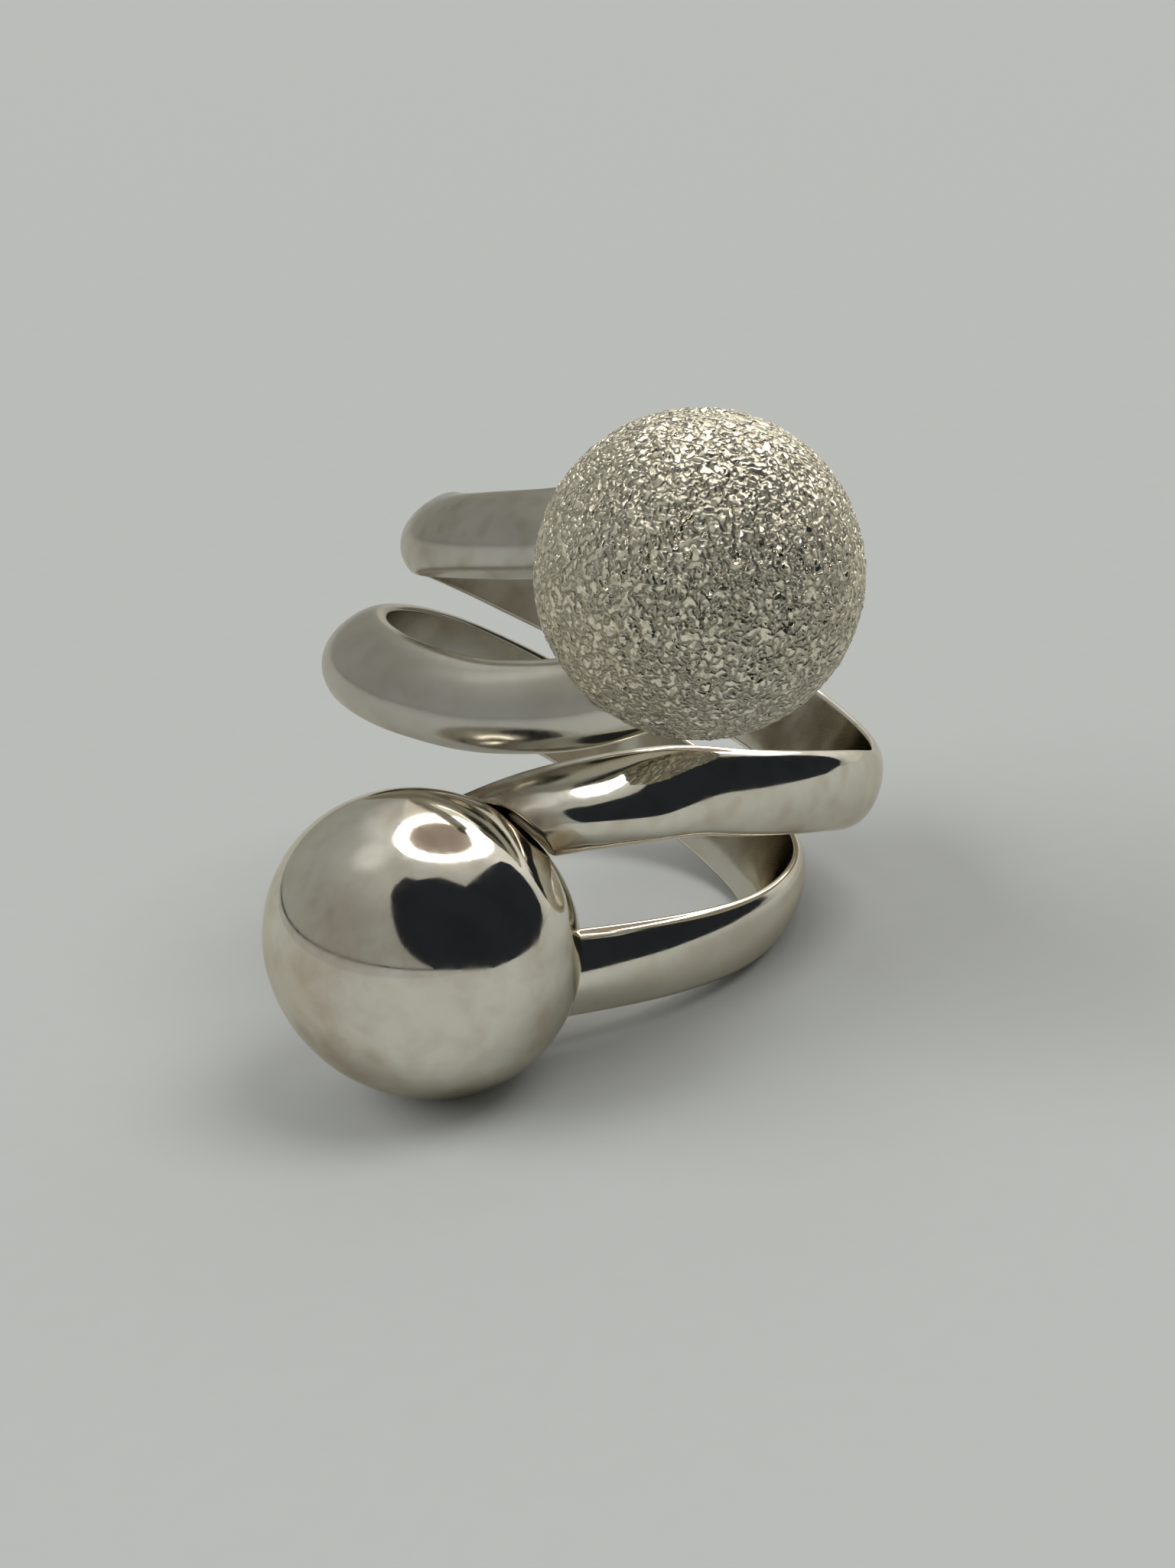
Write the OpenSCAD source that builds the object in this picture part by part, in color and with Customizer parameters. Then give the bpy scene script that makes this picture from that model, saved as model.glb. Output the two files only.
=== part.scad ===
// Bypass ring: two slim D-section bands run round the finger side by side, sweep
// across each other at the front, and end at two balls that sit one above the
// other. The lower ball is mirror polished, the upper one has a sparkling grain.
// The ring is shown as it rests on a table, on its lower ball and its lower band.

/* [Finger] */
// Diameter of the finger hole
finger_d = 17.5; // [17:0.5:18.5]

/* [Balls] */
// Diameter of both balls
ball_d = 11; // [10.6:0.1:11.4]
// Distance from the finger's axis to the centre of each ball
ball_reach = 11.2; // [10.9:0.1:11.6]
// How far the polished ball's centre lies below the middle of the ring
polished_drop = 8.2; // [8:0.1:8.5]
// How far the polished ball's centre lies to the left of the front
polished_aside = 0.6; // [0:0.1:0.8]
// Height of the polished ball as a share of its width, because it is pressed a little flat
polished_press = 0.93; // [0.9:0.01:1]
// How far the textured ball's centre lies above the middle of the ring
textured_rise = 7.3; // [7.1:0.1:7.6]
// Wall of the hollow polished ball
polished_wall = 0.5; // [0.4:0.1:1]
// Wall of the hollow textured ball
textured_wall = 0.85; // [0.4:0.05:1.2]

/* [Bands] */
// Width of each band at the front, where the two cross
band_front_w = 3.3; // [2.8:0.1:3.3]
// Width of each band at the back of the finger
band_back_w = 3.7; // [3:0.1:3.8]
// Thickness of each band at the crest of its dome
band_t = 1.3; // [1:0.1:1.5]
// Fullness of the dome, where 1 is a half ellipse and less is squarer
dome_power = 1; // [0.7:0.05:1.1]
// Lean of both domes towards the top of the ring, as a share of their height
dome_lean = 0.15; // [0:0.01:0.25]

/* [Joints] */
// How far the rounded end of a band stands off its ball at the top of the dome
end_gap = 0.12; // [0.05:0.01:0.2]
// How much further out the end's hollow is centred, so that it meets the ball at the finger side
end_shift = 1.4; // [1:0.1:1.6]

/* [Rest] */
// Lean of the finger's axis from upright as the ring rests, in degrees
rest_lean = 41; // [0:0.1:60]
// Side of the ring that faces up as it rests, in degrees round the finger from the front
rest_side = -68.4; // [-180:0.1:180]
// Turn of the resting ring on the table, in degrees
rest_turn = -79.1; // [-180:0.1:180]

/* [Hidden] */

// Columns of the two path tables
ANGLE = 0;
RISE = 1;
// Path of the upper band: angle round the finger from the front towards the right,
// and height of the band's middle there
upper_path = [
    [-20, -7.6],
    [0, -2.8],
    [20, 0.2],
    [40, 1.8],
    [65, 3.1],
    [90, 3.3],
    [135, 3.3],
    [180, 2.8],
    [225, 2.2],
    [270, 2.3],
    [290, 2.7],
    [310, 3.9],
    [330, 5.8],
    [350, 8.7],
];
// Path of the lower band: angle from the front towards the left, and depth of the
// band's middle there. It is the upper path turned half round the front axis, but
// drawn by hand in the same way, so the two differ a little.
lower_path = [
    [-20, -7.0],
    [0, -2.2],
    [20, 0.5],
    [40, 1.9],
    [65, 2.7],
    [90, 2.8],
    [135, 2.3],
    [180, 1.8],
    [225, 1.3],
    [270, 1.9],
    [290, 3.1],
    [310, 4.6],
    [330, 6.6],
    [350, 9.1],
];

finger_r = finger_d / 2;
ball_r = ball_d / 2;
// The backs of the balls stand this much further out than the bands' inner side
saddle_step = 0.15;
saddle_r = finger_r + saddle_step;
hole_h = 60;
// Steps along a band, across its dome and across its inner side
station_step = 5;
dome_steps = 12;
inner_steps = 4;
// Angle at each end of a path in which the band leaves its ball, its steps, and
// the halvings that find where it leaves
end_zone = 50;
end_steps = 8;
halvings = 16;
// Steps of a ball's half outline, round a ball and round the finger space
meridian_steps = 48;
ball_steps = 96;
space_steps = 120;
// The helical slope is measured at this share of the dome's height
slope_level = 0.4;
slope_r = finger_r + slope_level * band_t;

polished_at = [-polished_aside, -sqrt(pow(ball_reach, 2) - pow(polished_aside, 2)), -polished_drop];
textured_at = [0, -ball_reach, textured_rise];

// Columns of a ball's place: its centre, and its height as a share of its width
CENTRE = 0;
PRESS = 1;
polished_place = [polished_at, polished_press];
textured_place = [textured_at, 1];
// A ball's place as the lower path sees it, turned half round the front axis
function turned(ball) = [[-ball[CENTRE][0], ball[CENTRE][1], -ball[CENTRE][2]], ball[PRESS]];

silver = [0.78, 0.76, 0.73];
sparkle = [0.7, 0.69, 0.67];

// Row of the table whose stretch holds the angle
function row_at(path, angle) =
    max([for (i = [0 : len(path) - 2]) if (path[i][ANGLE] <= angle) i]);

function run(path, i) = path[i + 1][ANGLE] - path[i][ANGLE];
function grade(path, i) = (path[i + 1][RISE] - path[i][RISE]) / run(path, i);

// Slope of the smooth curve at a row: the two neighbouring grades, each weighted by
// the length of the other stretch
function slope_at(path, i) =
    i == 0 ? grade(path, 0)
    : i == len(path) - 1 ? grade(path, i - 1)
    : (grade(path, i - 1) * run(path, i) + grade(path, i) * run(path, i - 1))
        / (run(path, i) + run(path, i - 1));

// Height and slope of the band's middle at an angle, on a cubic between two rows
function height(path, angle) =
    let (i = row_at(path, angle), h = run(path, i), s = (angle - path[i][ANGLE]) / h)
    (2 * s * s * s - 3 * s * s + 1) * path[i][RISE]
    + (s * s * s - 2 * s * s + s) * h * slope_at(path, i)
    + (3 * s * s - 2 * s * s * s) * path[i + 1][RISE]
    + (s * s * s - s * s) * h * slope_at(path, i + 1);

function slope(path, angle) =
    let (i = row_at(path, angle), h = run(path, i), s = (angle - path[i][ANGLE]) / h)
    (6 * s * s - 6 * s) / h * (path[i][RISE] - path[i + 1][RISE])
    + (3 * s * s - 4 * s + 1) * slope_at(path, i)
    + (3 * s * s - 2 * s) * slope_at(path, i + 1);

// Angle between the band and the flat round of the finger
function pitch(path, angle) = atan(slope(path, angle) * 180 / PI / slope_r);

// Half the band's width at an angle
function half_w(angle) =
    (band_back_w + band_front_w) / 4 - (band_back_w - band_front_w) / 4 * cos(angle);

// Point of the band, across by a and out from the finger hole by b
function on_band(path, angle, a, b) =
    let (
        p = pitch(path, angle),
        turn = angle - a * sin(p) / slope_r * 180 / PI,
        r = finger_r + b
    )
    [r * sin(turn), -r * cos(turn), height(path, angle) + a * cos(p)];

// Breadth and rise of the outline's points: the dome from edge to edge, then the
// inner side back again. Both are shares, of half the width and of the thickness.
// A lean above zero moves the crest down the path's own height, below zero up it.
function dome(lean) = [for (j = [0 : dome_steps]) let (f = 180 * j / dome_steps)
    [cos(f), pow(max(sin(f), 0), dome_power) * (1 - lean * cos(f) * sin(f))]];
inner_side = [for (j = [1 : inner_steps - 1]) [2 * j / inner_steps - 1, 0]];
function outline(lean) = concat(dome(lean), inner_side);

// Point of an outline line at an angle
function on_line(path, line, angle) =
    on_band(path, angle, half_w(angle) * line[0], band_t * line[1]);

// Radius of the hollowed band end: it clears the ball by the gap at the dome's
// crest and dips into it at the finger side, where the solder holds
crest_r = finger_r + band_t;
hollow_reach = sqrt(pow(ball_r, 2) - pow(ball_reach - crest_r, 2)) + end_gap;
hollow_r = sqrt(pow(hollow_reach, 2) + pow(ball_reach + end_shift - crest_r, 2));
hollow_out = (ball_reach + end_shift) / ball_reach;

// How far a point lies outside the hollow round a ball, below zero when inside
function clear_of(p, ball) =
    norm([
        p[0] - ball[CENTRE][0] * hollow_out,
        p[1] - ball[CENTRE][1] * hollow_out,
        (p[2] - ball[CENTRE][2]) / ball[PRESS]
    ]) - hollow_r;

// Angle at which a line leaves the hollow, found by halving between an angle
// inside the ball and one well outside
function leaves(path, line, ball, inside, outside, left) =
    let (mid = (inside + outside) / 2)
    left == 0 ? mid
    : clear_of(on_line(path, line, mid), ball) < 0
        ? leaves(path, line, ball, mid, outside, left - 1)
        : leaves(path, line, ball, inside, mid, left - 1);

// Solid swept along one path, from the ball it starts at to the ball it ends at
module sweep(path, from_ball, to_ball, lean) {
    lines = outline(lean);
    first = path[0][ANGLE];
    last = path[len(path) - 1][ANGLE];
    starts = [for (l = lines) leaves(path, l, from_ball, first, first + end_zone, halvings)];
    ends = [for (l = lines) leaves(path, l, to_ball, last, last - end_zone, halvings)];
    low = first + end_zone;
    high = last - end_zone;
    count = round((high - low) / station_step);
    // Angles of the stations, from the hollowed end through the even middle part
    rings = concat(
        [for (i = [0 : end_steps - 1]) [for (a = starts) a + (low - a) * i / end_steps]],
        [for (i = [0 : count]) [for (a = starts) low + (high - low) * i / count]],
        [for (i = [1 : end_steps]) [for (a = ends) high + (a - high) * i / end_steps]]
    );
    n = len(lines);
    top = len(rings) - 1;
    points = [for (r = rings) for (j = [0 : n - 1]) on_line(path, lines[j], r[j])];
    skin = [
        for (i = [0 : top - 1])
            for (j = [0 : n - 1])
                let (k = (j + 1) % n, a = i * n + j, b = i * n + k, c = a + n, d = b + n)
                for (t = [[a, c, b], [b, c, d]]) t
    ];
    // The end faces are strips between the dome and the inner side
    caps = [for (j = [0 : dome_steps - 1]) for (t = cap_strip(j)) t];
    polyhedron(
        points = points,
        faces = concat(
            skin,
            [for (t = caps) [t[0], t[2], t[1]]],
            [for (t = caps) [top * n + t[0], top * n + t[1], top * n + t[2]]]
        )
    );
}

// Index of the inner side's point below a point of the dome
function below(j) =
    let (i = round(j * inner_steps / dome_steps))
    i == 0 ? 0 : i == inner_steps ? dome_steps : dome_steps + inner_steps - i;

// Triangles of an end face between two neighbouring points of the dome
function cap_strip(j) =
    let (u = below(j), v = below(j + 1))
    [
        if (j != u) [j, u, j + 1],
        if (u != v && j + 1 != v) [u, v, j + 1]
    ];

module upper_band() {
    color(silver)
        sweep(upper_path, polished_place, textured_place, dome_lean);
}

// The lower path is drawn turned half round the front axis
module lower_band() {
    color(silver)
        rotate([0, 180, 0])
            sweep(lower_path, turned(textured_place), turned(polished_place), -dome_lean);
}

// Space behind the balls that keeps them off the finger
module finger_space(r) {
    translate([0, 0, -hole_h / 2])
        cylinder(r = r, h = hole_h, $fn = space_steps);
}

// Half outline of a ball that is pressed flat, turned round the finger's direction
module pressed_ball(r, press) {
    rotate_extrude($fn = ball_steps)
        polygon([for (i = [0 : meridian_steps]) let (f = 180 * i / meridian_steps)
            [r * sin(f), -r * press * cos(f)]]);
}

module polished_ball() {
    color(silver)
        difference() {
            translate(polished_at)
                pressed_ball(ball_r, polished_press);
            finger_space(saddle_r);
            difference() {
                translate(polished_at)
                    pressed_ball(ball_r - polished_wall, polished_press);
                finger_space(saddle_r + polished_wall);
            }
        }
}

module textured_ball() {
    color(sparkle)
        difference() {
            translate(textured_at)
                sphere(r = ball_r, $fn = ball_steps);
            finger_space(saddle_r);
            difference() {
                translate(textured_at)
                    sphere(r = ball_r - textured_wall, $fn = ball_steps);
                finger_space(saddle_r + textured_wall);
            }
        }
}

// The soldered ring about the finger's axis
module ring_upright() {
    upper_band();
    lower_band();
    polished_ball();
    textured_ball();
}

// The resting turns, applied to a point
function turned_z(p, a) = [p[0] * cos(a) - p[1] * sin(a), p[0] * sin(a) + p[1] * cos(a), p[2]];
function tipped_x(p, a) = [p[0], p[1] * cos(a) - p[2] * sin(a), p[1] * sin(a) + p[2] * cos(a)];
function rested(p) = turned_z(tipped_x(turned_z(p, -rest_side), -rest_lean), rest_turn);
// What a direction of the table is to the upright ring
function unrested(p) = turned_z(tipped_x(turned_z(p, -rest_turn), rest_lean), rest_side);

// How far a ball reaches along a direction of the table
function ball_reaches(ball, way) =
    let (d = unrested(way))
    ball[CENTRE] * d + ball_r * norm([d[0], d[1], d[2] * ball[PRESS]]);

// Every station point of a path's even part, as the resting ring has it
function rested_path(path, half_turned) =
    let (low = path[0][ANGLE] + end_zone, high = path[len(path) - 1][ANGLE] - end_zone)
    [
        for (a = [low : station_step : high])
            for (l = outline(half_turned ? -dome_lean : dome_lean))
                let (p = on_line(path, l, a))
                rested(half_turned ? [-p[0], p[1], -p[2]] : p)
    ];
rested_points = concat(rested_path(upper_path, false), rested_path(lower_path, true));

// How far the whole ring reaches along a direction of the table
function reaches(way) =
    max(
        ball_reaches(polished_place, way),
        ball_reaches(textured_place, way),
        max([for (p = rested_points) p * way])
    );
middle_x = (reaches([1, 0, 0]) - reaches([-1, 0, 0])) / 2;
middle_y = (reaches([0, 1, 0]) - reaches([0, -1, 0])) / 2;
lift = reaches([0, 0, -1]);

// The ring on the table, with the middle of its outline over the origin
module ring() {
    translate([-middle_x, -middle_y, lift])
        rotate([0, 0, rest_turn])
            rotate([-rest_lean, 0, 0])
                rotate([0, 0, -rest_side])
                    ring_upright();
}

ring();
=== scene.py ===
"""Looks of a silver bypass ring: two domed bands, a mirror polished ball and a grained ball."""

import logging
from dataclasses import dataclass, field
from enum import Enum

import bpy
import numpy as np
from mathutils import Matrix


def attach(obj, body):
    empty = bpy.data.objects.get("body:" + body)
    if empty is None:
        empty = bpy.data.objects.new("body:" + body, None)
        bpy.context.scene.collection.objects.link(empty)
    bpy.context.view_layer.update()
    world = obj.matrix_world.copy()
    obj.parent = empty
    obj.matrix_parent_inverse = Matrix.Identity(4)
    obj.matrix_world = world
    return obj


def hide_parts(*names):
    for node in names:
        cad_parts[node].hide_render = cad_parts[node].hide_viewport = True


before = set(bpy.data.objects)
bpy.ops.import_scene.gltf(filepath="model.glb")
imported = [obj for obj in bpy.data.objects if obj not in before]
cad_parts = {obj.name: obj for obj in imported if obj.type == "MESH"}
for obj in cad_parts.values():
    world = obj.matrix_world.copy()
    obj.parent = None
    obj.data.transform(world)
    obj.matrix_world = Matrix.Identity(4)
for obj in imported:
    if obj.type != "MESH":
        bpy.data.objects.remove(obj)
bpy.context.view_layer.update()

log = logging.getLogger("ring")
MM = 0.001

# Short names for types
Array = np.ndarray
Tree = bpy.types.NodeTree
Node = bpy.types.Node
Socket = bpy.types.NodeSocket
Piece = bpy.types.Object
Pair = tuple[float, float]
Triple = tuple[float, float, float]
Inputs = dict[str | int, object]

# Sizes repeated from the part's source, in millimetres and degrees
FINGER_R = 8.75
BALL_R = 5.5
BALL_REACH = 11.2
BAND_FRONT_W = 3.3
BAND_BACK_W = 3.7
BAND_T = 1.3
DOME_POWER = 1.0
DOME_LEAN = 0.15
END_GAP = 0.12
END_SHIFT = 1.4
SLOPE_LEVEL = 0.4
SADDLE_STEP = 0.15
CREST_R = FINGER_R + BAND_T
SLOPE_R = FINGER_R + SLOPE_LEVEL * BAND_T
SADDLE_R = FINGER_R + SADDLE_STEP
REST_LEAN, REST_SIDE, REST_TURN = 41.0, -68.4, -79.1
REST_MIDDLE = (0.936917, 3.44219, 8.40908)
POLISHED_SIDE = -0.6
POLISHED_AT = (POLISHED_SIDE, -float(np.sqrt(BALL_REACH**2 - POLISHED_SIDE**2)), -8.2)
POLISHED_PRESS = 0.93
TEXTURED_AT = (0.0, -BALL_REACH, 7.3)

# Angle round the finger and height of each band's middle, as the part's source has them
UPPER_PATH = ((-20, -7.6), (0, -2.8), (20, 0.2), (40, 1.8), (65, 3.1), (90, 3.3), (135, 3.3),
              (180, 2.8), (225, 2.2), (270, 2.3), (290, 2.7), (310, 3.9), (330, 5.8), (350, 8.7))
LOWER_PATH = ((-20, -7.0), (0, -2.2), (20, 0.5), (40, 1.9), (65, 2.7), (90, 2.8), (135, 2.3),
              (180, 1.8), (225, 1.3), (270, 1.9), (290, 3.1), (310, 4.6), (330, 6.6), (350, 9.1))

# Odd factors that mix the bits of a cell's numbers, and of each of the three that come out
CELL_FACTORS = (374761393, 668265263, 2147483647)
OUT_FACTORS = (2246822519, 3266489917, 2654435761)
SALT_FACTOR = 97
FIRST_SHIFT, SECOND_SHIFT = 15, 13
LOW_BITS = 0xFFFFFF

# A distance larger than any that counts, whatever its unit, and a crease angle that no edge reaches
FAR = 9.0
NO_CREASE = 180.0

# What tarnish, and a duller finish with painted shade, multiply the metal's colour by, what each adds to its
# blur, and its tint at edges
TARNISH_TINT = (0.62, 0.52, 0.42, 1)
# This tint is painted shade as well as a duller finish: it darkens the metal wherever a piece's attribute
# asks for it.
DULL_AND_SHADE_TINT = (0.74, 0.75, 0.78, 1)
TARNISH_BLUR = 0.12
DULL_BLUR = 0.13
EDGE_TINT = (0.86, 0.83, 0.76, 1)


def turn_about(axis: int, degrees: float) -> Array:
    """Rotation matrix about one axis, with the cosine and sine of the angle in the other two.

    Args:
        axis: 0, 1 or 2 for X, Y or Z.
        degrees: The angle, counter-clockwise seen from the axis's tip.

    Returns:
        A 3 by 3 matrix that turns column vectors.
    """
    c, s = np.cos(np.radians(degrees)), np.sin(np.radians(degrees))
    u, v = [(1, 2), (2, 0), (0, 1)][axis]
    m = np.eye(3)
    m[u, u], m[u, v], m[v, u], m[v, v] = c, -s, s, c
    return m


REST = turn_about(2, REST_TURN) @ turn_about(0, -REST_LEAN) @ turn_about(2, -REST_SIDE)


def to_row(points: Array) -> Array:
    """Points about the finger's axis, in millimetres, as places of the resting ring, in metres."""
    return (points @ REST.T + np.array(REST_MIDDLE)) * MM


def direction(side: Array | float, high: Array | float) -> Array:
    """Unit vectors at angles in degrees from the front towards the right, and above the table."""
    a, e = np.radians(side), np.radians(high)
    return np.stack([np.sin(a) * np.cos(e), -np.cos(a) * np.cos(e), np.sin(e)], -1)


def eased(share: Array) -> Array:
    """Smoothstep of a share from 0 to 1: its square times three less twice the share."""
    return share * share * (3 - 2 * share)


def lattice_random(cells: Array, salt: int) -> Array:
    """Repeatable random numbers of whole-number cells: each cell's three numbers are mixed by odd factors.

    Args:
        cells: Whole numbers, shape (..., 3).
        salt: A number that gives another set.

    Returns:
        Values from 0 to 1, shape (..., 3).
    """
    a, b, c = (cells[..., k].astype(np.uint32) * np.uint32(CELL_FACTORS[k]) for k in range(3))
    h = (a ^ b ^ c) + np.uint32(salt * SALT_FACTOR)
    out = []
    for factor in OUT_FACTORS:
        h = (h ^ (h >> np.uint32(FIRST_SHIFT))) * np.uint32(factor)
        h = h ^ (h >> np.uint32(SECOND_SHIFT))
        out.append((h & np.uint32(LOW_BITS)).astype(float) / LOW_BITS)
    return np.stack(out, -1)


def smooth_noise(points: Array, period: float, salt: int) -> Array:
    """Smooth noise: random values at the corners of cubes, blended by the smoothstep of each coordinate.

    Args:
        points: Places, shape (n, 3).
        period: Side of a cube, in the points' units.
        salt: A number that gives another pattern.

    Returns:
        Values from -1 to 1, shape (n,).
    """
    q = points / period
    base = np.floor(q).astype(np.int64)
    f = eased(q - base)
    total = np.zeros(len(points))
    for corner in np.ndindex(2, 2, 2):
        weight = np.prod(np.where(np.array(corner), f, 1 - f), axis=1)
        total += weight * lattice_random(base + np.array(corner), salt)[:, 0]
    return 2 * total - 1


def cell_facets(points: Array, size: float, salt: int, tilt_salt: int) -> Array:
    """Height of small tilted facets: each point takes the plane of its nearest scattered seed.

    Args:
        points: Places, shape (n, 3).
        size: Average spacing of the seeds.
        salt: A number that gives other seeds.
        tilt_salt: A number that gives other tilts.

    Returns:
        Height of the facet there, as a share of the spacing.
    """
    q = points / size
    base = np.floor(q).astype(np.int64)
    best = np.full(len(points), FAR)
    height = np.zeros(len(points))
    for step in np.ndindex(3, 3, 3):
        cell = base + np.array(step) - 1
        away = q - cell - lattice_random(cell, salt)
        far = (away**2).sum(1)
        tilt = lattice_random(cell, tilt_salt) - 0.5
        closer = far < best
        best = np.where(closer, far, best)
        height = np.where(closer, (away * tilt).sum(1), height)
    return height


def ball_gap(points: Array, centre: Triple, press: float) -> Array:
    """Rough distance of points about the finger's axis from the skin of a ball that is pressed flat."""
    return np.linalg.norm((points - np.array(centre)) / (1, 1, press), axis=1) - BALL_R


def welded(parts: list[tuple[Array, Array]]) -> tuple[Array, Array]:
    """Joins grids into one closed skin: points that agree to a ten-thousandth of a millimetre become one.

    Args:
        parts: Points in millimetres and triangles of each grid.

    Returns:
        Points and triangles, with no doubled point and no flat triangle.
    """
    points = np.concatenate([p for p, _ in parts])
    starts = np.cumsum([0] + [len(p) for p, _ in parts[:-1]])
    faces = np.concatenate([f + s for (_, f), s in zip(parts, starts)])
    _, first, index = np.unique(np.round(points, 4), axis=0, return_index=True, return_inverse=True)
    faces = index.reshape(-1)[faces]
    wide = (faces[:, 0] != faces[:, 1]) & (faces[:, 1] != faces[:, 2]) & (faces[:, 2] != faces[:, 0])
    return points[first], faces[wide]


def grid_faces(rows: int, columns: int, closed: bool) -> Array:
    """Triangles of a grid of points, two for each cell.

    Args:
        rows: Rows of points.
        columns: Points in a row.
        closed: True if the last column is joined to the first.

    Returns:
        Triangles, as numbers of points.
    """
    i, j = np.meshgrid(np.arange(rows - 1), np.arange(columns if closed else columns - 1), indexing="ij")
    a, b = i * columns + j, i * columns + (j + 1) % columns
    c, d = a + columns, b + columns
    return np.concatenate([np.stack([a, b, c], -1).reshape(-1, 3), np.stack([b, d, c], -1).reshape(-1, 3)])


def closed_outwards(points: Array, faces: Array) -> Array:
    """Turns all triangles round if they point inwards, which the sign of the enclosed volume tells."""
    a, b, c = (points[faces[:, k]] for k in range(3))
    return faces if (a * np.cross(b, c)).sum() > 0 else faces[:, ::-1]


def mesh_object(name: str, points: Array, faces: Array, crease: float) -> Piece:
    """Puts points and triangles into a new smooth mesh, with edges over the crease angle kept sharp.

    Args:
        name: Name of the piece.
        points: Points in metres.
        faces: Triangles.
        crease: Angle in degrees over which an edge is sharp.

    Returns:
        The new object, at the origin.
    """
    mesh = bpy.data.meshes.new(name)
    mesh.from_pydata(points.tolist(), [], faces.tolist())
    mesh.validate()
    mesh.shade_smooth()
    mesh.set_sharp_from_angle(angle=np.radians(crease))
    piece = bpy.data.objects.new(name, mesh)
    bpy.context.scene.collection.objects.link(piece)
    return piece


def add_value(piece: Piece, name: str, values: Array) -> None:
    """Stores one number for each point of the piece under a name that its material reads."""
    layer = piece.data.attributes.new(name, "FLOAT", "POINT")
    layer.data.foreach_set("value", values.astype(np.float32))


def feed(node: Node, inputs: Inputs) -> None:
    """Gives a node its inputs: an output is linked, and anything else becomes the input's own value.

    Args:
        node: The node that takes them.
        inputs: An output or a value for each input's name or number.
    """
    for name, given in inputs.items():
        if isinstance(given, Socket):
            node.id_data.links.new(given, node.inputs[name])
        else:
            node.inputs[name].default_value = given


def add_node(tree: Tree, kind: str, inputs: Inputs | None = None, **settings: object) -> Node:
    """Adds a shader node. Its settings come first, because they decide which inputs it has.

    Args:
        tree: The nodes that it joins.
        kind: Its type, without the word ShaderNode.
        inputs: An output or a value for each input's name or number.
        settings: Its own properties, such as an operation.

    Returns:
        The new node.
    """
    node = tree.nodes.new(f"ShaderNode{kind}")
    for name, given in settings.items():
        setattr(node, name, given)
    feed(node, inputs or {})
    return node


def maths(tree: Tree, operation: str, a: Socket | float, b: Socket | float) -> Socket:
    """Output of one step of arithmetic on two outputs or values."""
    return add_node(tree, "Math", {0: a, 1: b}, operation=operation).outputs[0]


def vectors(tree: Tree, operation: str, inputs: Inputs) -> Socket:
    """Output of one step of arithmetic on vectors."""
    return add_node(tree, "VectorMath", inputs, operation=operation).outputs["Vector"]


def light_only(name: str) -> tuple[bpy.types.Material, Node]:
    """A material that only glows and isn't treated as a lamp.

    Args:
        name: Name of the material.

    Returns:
        The material and its emission node.
    """
    mat = bpy.data.materials.new(name)
    mat.use_nodes = True
    mat.node_tree.nodes.clear()
    emit = add_node(mat.node_tree, "Emission")
    add_node(mat.node_tree, "OutputMaterial", {"Surface": emit.outputs["Emission"]})
    mat.cycles.emission_sampling = "NONE"
    return mat, emit


class Surface(Enum):
    """How the silver is finished."""

    MIRROR = "mirror"
    BUFFED = "buffed"
    SPARKLE = "sparkle"


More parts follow.
